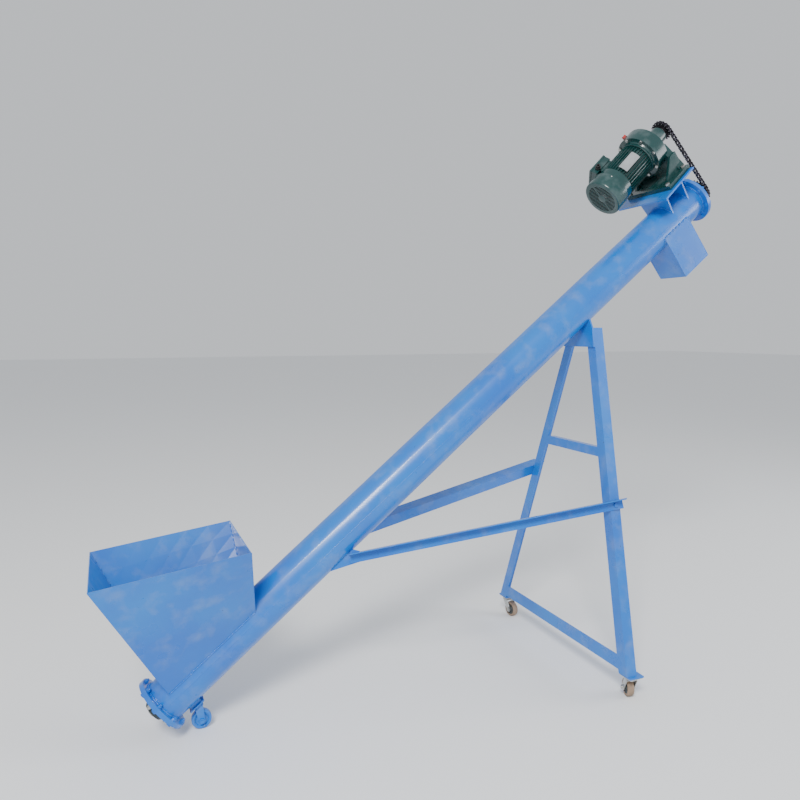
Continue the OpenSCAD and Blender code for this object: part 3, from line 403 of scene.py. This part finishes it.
cast_paint = enamel("dark_cast_paint", fresh=(0.006, 0.02, 0.024), faded=(0.012, 0.03, 0.034),
                    chip=(0.10, 0.07, 0.05), shine=0.34, chip_share=0.3)
plated = metal("zinc_plate", (0.55, 0.56, 0.55), (0.30, 0.28, 0.24), 0.34, (1, 1, 1))
turned = metal("turned_steel", (0.42, 0.42, 0.42), (0.16, 0.12, 0.09), 0.3, (8, 1, 1))
rubber = metal("seal_rubber", (0.012, 0.012, 0.013), (0.03, 0.03, 0.028), 0.6, (1, 1, 1))
rubber.node_tree.nodes["Principled BSDF"].inputs["Metallic"].default_value = 0
dress("lower_bearing_housing", cast_paint, edge=0.002, segments=3)
dress("upper_bearing_housing", cast_paint, edge=0.002, segments=3)
dress("bearing_bolts", plated, edge=0.0005)
dress("bearing_inner_rings", turned, edge=0.0005)
dress("screw_journals", turned, edge=0.0008)
dress("shaft_seals", rubber, edge=0.0004)
for place in frame["nodes"]["bearing_balls"].material_slots:
    place.material = turned

# ---- Screw ----
# A steel strip wound on edge round the core pipe, one turn in each diameter, worn bright
# on its rim and dull with grain dust on its faces.
worn = metal("worn_flighting", (0.30, 0.30, 0.30), (0.20, 0.15, 0.10), 0.42, (1, 1, 6))
dress("screw_core", blue_enamel, edge=0.0005)
flight_low, flight_high = tube_low + 0.030, 0.736
flight_pitch, flight_t = 0.150, 0.003
rim_r, root_r = 0.0748, 0.0243
turn_steps = 40
flight_points, flight_faces = [], []
turn_count = (flight_high - flight_low - flight_t) / flight_pitch
ring_count = int(turn_count * turn_steps)
for k in range(ring_count + 1):
    turn = math.tau * k / turn_steps
    s = flight_low + k * flight_pitch / turn_steps
    for place, radius in ((s, root_r), (s + 0.0004, rim_r - 0.0006), (s + 0.0010, rim_r),
                          (s + flight_t - 0.0010, rim_r), (s + flight_t - 0.0004, rim_r - 0.0006),
                          (s + flight_t, root_r)):
        flight_points.append(along_tube @ Vector(
            (place, radius * math.cos(turn), radius * math.sin(turn))))
for k in range(ring_count):
    flight_faces += [(6 * k + e, 6 * k + (e + 1) % 6, 6 * k + 6 + (e + 1) % 6, 6 * k + 6 + e)
                     for e in range(6)]
flight_faces += [(5, 4, 3, 2, 1, 0), tuple(6 * ring_count + e for e in range(6))]
flighting = add_piece("wound_flighting", flight_points, flight_faces, worn, "screw", "worn_steel")
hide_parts("screw_flighting")

# ---- A-frame ----
# Two legs of rolled steel angle, joined by two cross bars and a plate under the pipe.
# The joints are welded and the whole frame is painted in one.
for frame_piece in ("saddle_plate", "near_leg", "far_leg", "upper_cross_bar",
                    "lower_cross_bar", "foot_plates"):
    dress(frame_piece, blue_enamel, edge=0.0014, segments=3)

# ---- Braces ----
# One angle bar from each leg to an ear welded on the pipe, bolted through the leg.
for brace_piece in ("near_brace", "far_brace", "brace_ears"):
    dress(brace_piece, blue_enamel, edge=0.0012)
dress("brace_bolts", blue_enamel, edge=0.0005)

# ---- Casters ----
# Three swivel casters: a stamped fork on a ball race under a square plate, and a moulded
# wheel on a through bolt. The front one was sprayed with the tube; the rear two stay plated.
caster_trail, axle_drop = 0.028, 0.0625
crown_z, crown_r, crown_flat = -0.0135, 0.0235, 0.0125
cheek_half, toe_half, axle_hub_r = 0.017, 0.012, 0.013
fore_taper, aft_taper = 0.052, 0.046
fork_t = 0.003


def caster_frame(swivel, roll):
    """z up the swivel axis from the plate's top, and x the way the wheel trails."""
    up = Vector(spins[swivel]["axis"])
    wheel = Vector(spins[roll]["pos_m"])
    out = wheel - Vector(spins[swivel]["pos_m"])
    out = (out - up * out.dot(up)).normalized()
    return Matrix.Translation(wheel - out * caster_trail + up * axle_drop) @ Matrix(
        (out, up.cross(out), up)).transposed().to_4x4()


def fork_edges(z):
    """The fore and aft edges of the fork's cheek at a height."""
    fore_share = min(max((crown_z - z) / fore_taper, 0), 1)
    aft_share = min(max((crown_z - z) / aft_taper, 0), 1)
    fore = -cheek_half + fore_share * (caster_trail - toe_half + cheek_half)
    aft = cheek_half + aft_share * (caster_trail + toe_half - cheek_half)
    bulge = axle_hub_r ** 2 - (z + axle_drop) ** 2
    if bulge <= 0:
        return fore, aft
    low, high = caster_trail - math.sqrt(bulge), caster_trail + math.sqrt(bulge)
    if z > -axle_drop:
        return min(fore, low), max(aft, high)
    return low, high


def caster_fork(name, place, finish, body, slot, node):
    """A strip bent into a U, 3 mm thick, with round ends over the axle."""
    half, bend_r = 0.0195, 0.007
    profile = [(half, z) for z in sorted(
        -axle_drop - axle_hub_r * math.cos(math.pi * k / 16) for k in range(9))]
    profile += [(half, -axle_drop + (crown_z - bend_r + axle_drop) * k / 8) for k in range(1, 9)]
    profile += [(half - bend_r + bend_r * math.cos(turn), crown_z - bend_r + bend_r * math.sin(turn))
                for turn in (math.pi / 2 * k / 5 for k in range(1, 6))]
    profile += [(y, crown_z) for y in (0.008, 0.004, 0.0)]
    profile += [(-y, z) for y, z in reversed(profile[:-1])]
    points, faces, across = [], [], 8
    for y, z in profile:
        if abs(y) < crown_flat:
            wide = math.sqrt(crown_r ** 2 - y * y)
            fore, aft = -wide, wide
        else:
            fore, aft = fork_edges(min(z, crown_z))
            if z > crown_z - bend_r:
                share = (z - crown_z + bend_r) / bend_r
                wide = math.sqrt(crown_r ** 2 - crown_flat ** 2)
                fore, aft = fore + (-wide - fore) * share, aft + (wide - aft) * share
        points += [place @ Vector((fore + (aft - fore) * k / across, y, z))
                   for k in range(across + 1)]
    for row in range(len(profile) - 1):
        first = row * (across + 1)
        faces += [(first + k, first + k + 1, first + across + 2 + k, first + across + 1 + k)
                  for k in range(across)]
    fork = add_piece(name, points, faces, finish, body, slot, sharp=50)
    thick = fork.modifiers.new("sheet", "SOLIDIFY")
    thick.thickness = fork_t
    thick.offset = -1
    rounded = fork.modifiers.new("edges", "BEVEL")
    rounded.width = 0.0006
    rounded.segments = 2
    rounded.angle_limit = math.radians(50)
    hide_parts(node)


def lathe(profile, place, steps=56):
    """Points and faces of a profile of (x, radius) pairs turned about x."""
    points, faces, rows = [], [], len(profile)
    for k in range(steps):
        turn = math.tau * k / steps
        points += [place @ Vector((x, radius * math.cos(turn), radius * math.sin(turn)))
                   for x, radius in profile]
    for k in range(steps):
        here, there = k * rows, (k + 1) % steps * rows
        faces += [(here + e, there + e, there + (e + 1) % rows, here + (e + 1) % rows)
                  for e in range(rows)]
    return points, faces


def caster_wheel(name, place, tyre_finish, core_finish, body, slot, node):
    """A round-shouldered tyre moulded on a core with a dished web and a long hub."""
    axle = place @ Matrix.Translation((caster_trail, 0, -axle_drop)) @ Matrix.Rotation(
        math.pi / 2, 4, "Z")
    tyre = [(0.0128, 0.0278), (0.0138, 0.0290), (0.0140, 0.0330), (0.0128, 0.0352),
            (0.0104, 0.0366), (0.0070, 0.0374), (0.0035, 0.0375), (0, 0.0375)]
    tyre += [(-x, r) for x, r in reversed(tyre[:-1])] + [(-0.0120, 0.0268), (0.0120, 0.0268)]
    core = [(0.0152, 0.0062), (0.0156, 0.0072), (0.0156, 0.0108), (0.0148, 0.0118),
            (0.0096, 0.0130), (0.0078, 0.0160), (0.0080, 0.0215), (0.0104, 0.0246),
            (0.0124, 0.0254), (0.0124, 0.0266)]
    core += [(-x, r) for x, r in reversed(core)]
    fitted_tyre = add_piece(name + "_tyre", *lathe(tyre, axle, 72), tyre_finish, body, slot, 50)
    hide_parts(node)
    add_piece(name + "_core", *lathe(core, axle), core_finish, body, slot, 50)


def caster_race(name, place, finish, body, slot):
    """The pressed cup over the swivel's balls."""
    up = place @ Matrix.Rotation(-math.pi / 2, 4, "Y")
    cup = [(-0.0130, 0.0215), (-0.0130, 0.0236), (-0.0112, 0.0246), (-0.0088, 0.0240),
           (-0.0066, 0.0214), (-0.0042, 0.0206), (-0.0042, 0.0190), (-0.0120, 0.0190)]
    add_piece(name, *lathe(cup, up), finish, body, slot, 40)


tan_tread = metal("tan_tread", (0.33, 0.23, 0.16), (0.20, 0.15, 0.11), 0.75, (1, 1, 1), bump=0.5)
tan_tread.node_tree.nodes["Principled BSDF"].inputs["Metallic"].default_value = 0
dark_core = metal("dark_wheel_core", (0.05, 0.06, 0.06), (0.10, 0.09, 0.08), 0.5, (1, 1, 1))
dark_core.node_tree.nodes["Principled BSDF"].inputs["Metallic"].default_value = 0
dress("front_caster_plate", blue_enamel, edge=0.0012)
dress("rear_caster_plates", plated, edge=0.0010)
for corner, tyre_finish, core_finish, fork_finish, slot in (
        ("front", blue_enamel, blue_enamel, blue_enamel, "paint_blue"),
        ("near", tan_tread, dark_core, plated, "caster_steel"),
        ("far", tan_tread, dark_core, plated, "caster_steel")):
    place = caster_frame(corner + "_swivel", corner + "_roll")
    caster_fork(corner + "_stamped_fork", place, fork_finish, corner + "_swivel_body", slot,
                corner + "_fork")
    caster_wheel(corner + "_wheel_set", place, tyre_finish, core_finish, corner + "_roll_body",
                 "paint_blue" if corner == "front" else "wheel_tread", corner + "_wheel")
    caster_race(corner + "_race_cup", place, fork_finish, "machine", slot)
    dress(corner + "_axle", fork_finish, edge=0.0006)

# ---- Drive platform ----
# A plate on two gussets, welded across the pipe, that carries the geared motor.
for platform_piece in ("drive_base_plate", "drive_gussets"):
    dress(platform_piece, blue_enamel, edge=0.0012)
gusset_faces = [0.6812, 0.6908, 0.7952, 0.8048]
gusset_turn = math.radians(58)
weld_bead("gusset_welds", [[on_tube(s, gusset_turn * (k / 15 - 1), 0.0856) for k in range(31)]
                           for s in gusset_faces], 0.0036)

# ---- Reducer ----
# A cast foot-mounted reducer: ring, front cover and hub, painted dark green with its motor.
# A red breather plug stands on top, and bolts through the ring hold the motor's flange.
at_drive = axis_frame("output_spin", 0.0)
green_enamel = enamel("green_enamel", fresh=(0.004, 0.036, 0.036), faded=(0.008, 0.055, 0.055),
                      chip=(0.06, 0.06, 0.055), shine=0.18, chip_share=0.22)
dress("reducer_housing", green_enamel, edge=0.0035, segments=3)
dress("reducer_gear_ring", green_enamel, edge=0.0025, segments=3)
dress("motor_adapter", green_enamel, edge=0.0020, segments=3)
dress("reducer_bolts", plated, edge=0.0006)
red_cap = enamel("red_cap", fresh=(0.42, 0.01, 0.01), faded=(0.5, 0.03, 0.02),
                 chip=(0.2, 0.02, 0.02), shine=0.3, chip_share=0.15)
dress("breather_plug", red_cap, edge=0.0012)
dress("output_shaft", turned, edge=0.0012)

# ---- Motor ----
# A totally enclosed motor: cast body with cooling fins, a cast shield behind it, and a
# pressed cover with a slotted grille over the fan. A bright silver plate on the upper
# near fins is a painted highlight: it stands in for light on the fins.
body_back, body_front = -0.366, -0.196
fin_r, drum_r, fin_count = 0.084, 0.073, 36
stations = [(body_back, 0.0), (body_back + 0.004, 0.0), (body_back + 0.007, 0.75),
            (body_back + 0.010, 1.0), (body_front - 0.016, 1.0), (body_front - 0.012, 0.75),
            (body_front - 0.009, 0.0)]
box_turn = math.radians(90 - 46)
ribs, rib_faces, around = [], [], fin_count * 6
for x, rise in stations:
    for fin in range(fin_count):
        middle = math.tau * (fin + 0.5) / fin_count
        under_box = abs((middle - box_turn + math.pi) % math.tau - math.pi) < math.radians(31)
        tip = drum_r + (fin_r - drum_r) * (0.12 if under_box else 1) * rise
        for offset, radius in ((-0.0026, drum_r), (-0.0014, drum_r + (tip - drum_r) * 0.2),
                               (-0.0010, tip - 0.0006 * rise), (0.0010, tip - 0.0006 * rise),
                               (0.0014, drum_r + (tip - drum_r) * 0.2), (0.0026, drum_r)):
            turn = middle + offset / radius
            ribs.append(at_drive @ Vector((x, radius * math.cos(turn), radius * math.sin(turn))))
for row in range(len(stations) - 1):
    rib_faces += [(row * around + k, row * around + (k + 1) % around,
                   (row + 1) * around + (k + 1) % around, (row + 1) * around + k)
                  for k in range(around)]
finned_body = add_piece("finned_motor_body", ribs, rib_faces, green_enamel, "machine",
                        "paint_green", sharp=40)
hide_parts("motor_frame")
collar = [(-0.206, 0.060), (-0.206, 0.082), (-0.2045, 0.0838), (-0.198, 0.0838), (-0.196, 0.082),
          (-0.196, 0.060)]
add_piece("motor_front_collar", *lathe(collar, at_drive, 72), green_enamel, "machine",
          "paint_green", 30)
dress("motor_rear_shield", green_enamel, edge=0.0030, segments=3)

cover = [(-0.404, 0.0900), (-0.464, 0.0900), (-0.4685, 0.0888), (-0.4712, 0.0862),
         (-0.4720, 0.0825), (-0.4720, 0.0690), (-0.4708, 0.0690), (-0.4708, 0.0820),
         (-0.4698, 0.0852), (-0.4675, 0.0876), (-0.464, 0.0886), (-0.404, 0.0886)]
fan_cover = add_piece("pressed_fan_cover", *lathe(cover, at_drive, 80), green_enamel, "machine",
                      "paint_green", 50)
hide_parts("fan_cover")


def slab(points, faces, place, low, high):
    """Adds a block between two corners."""
    first = len(points)
    points += [place @ Vector((x, y, z)) for x in (low[0], high[0]) for y in (low[1], high[1])
               for z in (low[2], high[2])]
    faces += [tuple(first + k for k in face) for face in
              ((0, 1, 3, 2), (4, 6, 7, 5), (0, 4, 5, 1), (2, 3, 7, 6), (0, 2, 6, 4), (1, 5, 7, 3))]


grille_points, grille_faces = [], []
grille_r, slat_gap, slat_w = 0.0700, 0.0068, 0.0034
for k in range(-10, 11):
    z = k * slat_gap
    if abs(z) < grille_r - 0.002:
        reach = math.sqrt(grille_r ** 2 - z * z)
        slab(grille_points, grille_faces, at_drive, (-0.4718, -reach, z - slat_w / 2),
             (-0.4706, reach, z + slat_w / 2))
slab(grille_points, grille_faces, at_drive, (-0.4719, -0.0030, -grille_r),
     (-0.4705, 0.0030, grille_r))
add_piece("fan_grille", grille_points, grille_faces, green_enamel, "machine", "paint_green")
hub_plate = [(-0.4720, 0.0002), (-0.4720, 0.0172), (-0.4714, 0.0190), (-0.4704, 0.0190),
             (-0.4704, 0.0002)]
add_piece("grille_hub", *lathe(hub_plate, at_drive, 48), green_enamel, "machine", "paint_green")
screws_points, screws_faces = [], []
for turn in (math.pi / 4 + math.pi / 2 * k for k in range(4)):
    seat = at_drive @ Matrix.Rotation(turn, 4, "X") @ Matrix.Translation((-0.410, 0.0880, 0)) \
        @ Matrix.Rotation(math.pi / 2, 4, "Z")
    head = [(0.0, 0.0001), (0.0, 0.0042), (0.0014, 0.0042), (0.0020, 0.0032), (0.0020, 0.0001)]
    points, faces = lathe(head, seat, 20)
    screws_faces += [tuple(index + len(screws_points) for index in face) for face in faces]
    screws_points += points
add_piece("cover_screws", screws_points, screws_faces, plated, "machine", "bright_steel")

# Painted highlight: a bright silver plate laid over the upper near fins, standing in for light on
# the fins.
highlight_plate_finish = metal("fin_highlight_plate", (0.62, 0.64, 0.66), (0.45, 0.46, 0.46), 0.3, (1, 10, 1), 0.05)
plate_points, plate_faces, plate_cols = [], [], 10
for row, x in enumerate((-0.345, -0.344, -0.246, -0.245)):
    for side, radius in enumerate((fin_r + 0.0003, fin_r + 0.0014)):
        for k in range(plate_cols + 1):
            turn = math.radians(180 - 50 + 30 * k / plate_cols)
            plate_points.append(at_drive @ Vector(
                (x, radius * math.cos(turn), radius * math.sin(turn))))
plate_row = 2 * (plate_cols + 1)
for row in range(3):
    for k in range(plate_cols):
        here, there = row * plate_row + k, (row + 1) * plate_row + k
        up = plate_cols + 1
        plate_faces += [(here, there, there + 1, here + 1),
                        (here + up, here + up + 1, there + up + 1, there + up)]
for k in range(plate_cols):
    last = 3 * plate_row
    plate_faces += [(k, k + 1, k + plate_cols + 2, k + plate_cols + 1),
                    (last + k, last + k + plate_cols + 1, last + k + plate_cols + 2, last + k + 1)]
for row in range(3):
    here, there = row * plate_row, (row + 1) * plate_row
    up = plate_cols + 1
    plate_faces += [(here, here + up, there + up, there),
                    (here + plate_cols, there + plate_cols, there + plate_cols + up,
                     here + plate_cols + up)]
add_piece("painted_fin_highlight", plate_points, plate_faces, highlight_plate_finish, "machine", "bright_steel")

dress("terminal_box", green_enamel, edge=0.0030, segments=3)
black_nylon = metal("black_nylon", (0.012, 0.012, 0.014), (0.03, 0.03, 0.03), 0.42, (1, 1, 1))
black_nylon.node_tree.nodes["Principled BSDF"].inputs["Metallic"].default_value = 0
dress("cable_gland", black_nylon, edge=0.0006)
dress("cooling_fan", black_nylon, edge=0.0006)
dress("motor_rotor", turned, edge=0.0006)

# ---- Chain drive ----
# Two plate sprockets and a single-strand roller chain of 15.875 mm pitch. Blued plates
# are riveted on bright pins, and everything is dark with oil.
oiled = metal("oiled_plates", (0.060, 0.055, 0.075), (0.018, 0.015, 0.014), 0.36, (1, 1, 1))
pin_bright = metal("pin_heads", (0.62, 0.62, 0.66), (0.35, 0.33, 0.32), 0.25, (1, 1, 1))
sprocket_black = metal("blacked_sprocket", (0.05, 0.045, 0.06), (0.02, 0.018, 0.016), 0.4,
                       (1, 1, 1))
dress("drive_sprocket", sprocket_black, edge=0.0007)
dress("driven_sprocket", sprocket_black, edge=0.0007)

pitch, links = 0.015875, 64
drive_teeth, driven_teeth = 17, 23
drive_r = pitch / 2 / math.sin(math.pi / drive_teeth)
driven_r = pitch / 2 / math.sin(math.pi / driven_teeth)
top_centre, low_centre = [Vector(spins[joint]["pos_m"]) for joint in ("output_spin", "screw_spin")]
spread = math.asin((driven_r - drive_r) / (top_centre - low_centre).length)
wrap_top = drive_teeth * (math.pi - 2 * spread) / math.tau
wrap_low = driven_teeth * (math.pi + 2 * spread) / math.tau
straight = (links - wrap_top - wrap_low) / 2
across = Vector((0, 1, 0))
top_axis, low_axis = [Vector(spins[joint]["axis"]) for joint in ("output_spin", "screw_spin")]


def round_sprocket(centre, axis, radius, turn):
    return centre + (across * math.cos(turn) + axis.cross(across) * math.sin(turn)) * radius


def chain_joint(step):
    """Where a pin of the chain stands, and the way it points, counted in pitches."""
    step %= links
    top_far = round_sprocket(top_centre, top_axis, drive_r, spread)
    top_near = round_sprocket(top_centre, top_axis, drive_r, math.pi - spread)
    low_near = round_sprocket(low_centre, low_axis, driven_r, math.pi - spread)
    low_far = round_sprocket(low_centre, low_axis, driven_r, spread)
    between = (top_axis + low_axis).normalized()
    if step <= wrap_top:
        turn = spread + step * math.tau / drive_teeth
        return round_sprocket(top_centre, top_axis, drive_r, turn), top_axis
    if step <= wrap_top + straight:
        return top_near.lerp(low_near, (step - wrap_top) / straight), between
    if step <= wrap_top + straight + wrap_low:
        turn = math.pi - spread + (step - wrap_top - straight) * math.tau / driven_teeth
        return round_sprocket(low_centre, low_axis, driven_r, turn), low_axis
    return low_far.lerp(top_far, (step - wrap_top - straight - wrap_low) / straight), between


eye_r, waist_r = 0.0064, 0.0046
plate_t, plate_gap, inner_half = 0.0015, 0.0006, 0.004825
plates, plate_sides, pins, pin_sides, rollers, roller_sides = [], [], [], [], [], []


def add_part(points, faces, more):
    faces += [tuple(index + len(points) for index in face) for face in more[1]]
    points += more[0]


for link in range(links):
    (here, here_axis), (there, there_axis) = chain_joint(link), chain_joint(link + 1)
    run = (there - here).normalized()
    pin_way = here_axis + there_axis
    pin_way = (pin_way - run * pin_way.dot(run)).normalized()
    at_link = Matrix.Translation(here) @ Matrix(
        (pin_way, run, pin_way.cross(run))).transposed().to_4x4()
    reach = (there - here).length
    outline = [(-eye_r * math.sin(turn), -eye_r * math.cos(turn))
               for turn in (math.radians(-35 + 25 * k) for k in range(11))]
    right_eye = [(reach - y, -z) for y, z in outline]
    waist_low = (reach / 2, outline[0][1] * waist_r / abs(outline[0][1]))
    waist_high = (reach / 2, outline[-1][1] * waist_r / abs(outline[-1][1]))
    edge = outline + [waist_high] + right_eye + [waist_low]
    middle = inner_half + (plate_t / 2 if link % 2 == 0 else plate_t * 1.5 + plate_gap)
    for side in (-middle, middle):
        low_side = [at_link @ Vector((side - plate_t / 2, y, z)) for y, z in edge]
        high_side = [at_link @ Vector((side + plate_t / 2, y, z)) for y, z in edge]
        count = len(edge)
        walls = [(k, (k + 1) % count, count + (k + 1) % count, count + k) for k in range(count)]
        add_part(plates, plate_sides, (low_side + high_side, walls + [
            tuple(range(count - 1, -1, -1)), tuple(range(count, 2 * count))]))
    pin = [(-0.0094, 0.0002), (-0.0094, 0.0016), (-0.0089, 0.0023), (0.0089, 0.0023),
           (0.0094, 0.0016), (0.0094, 0.0002)]
    add_part(pins, pin_sides, lathe(pin, at_link, 12))
    roller = [(-0.0047, 0.0030), (-0.0047, 0.0048), (-0.0044, 0.00508), (0.0044, 0.00508),
              (0.0047, 0.0048), (0.0047, 0.0030)]
    add_part(rollers, roller_sides, lathe(roller, at_link, 18))
chain_plates = add_piece("chain_plates", plates, plate_sides, oiled, "machine", "chain_steel")
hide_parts("drive_chain")
add_piece("chain_pins", pins, pin_sides, pin_bright, "machine", "chain_steel")
add_piece("chain_rollers", rollers, roller_sides, oiled, "machine", "chain_steel")
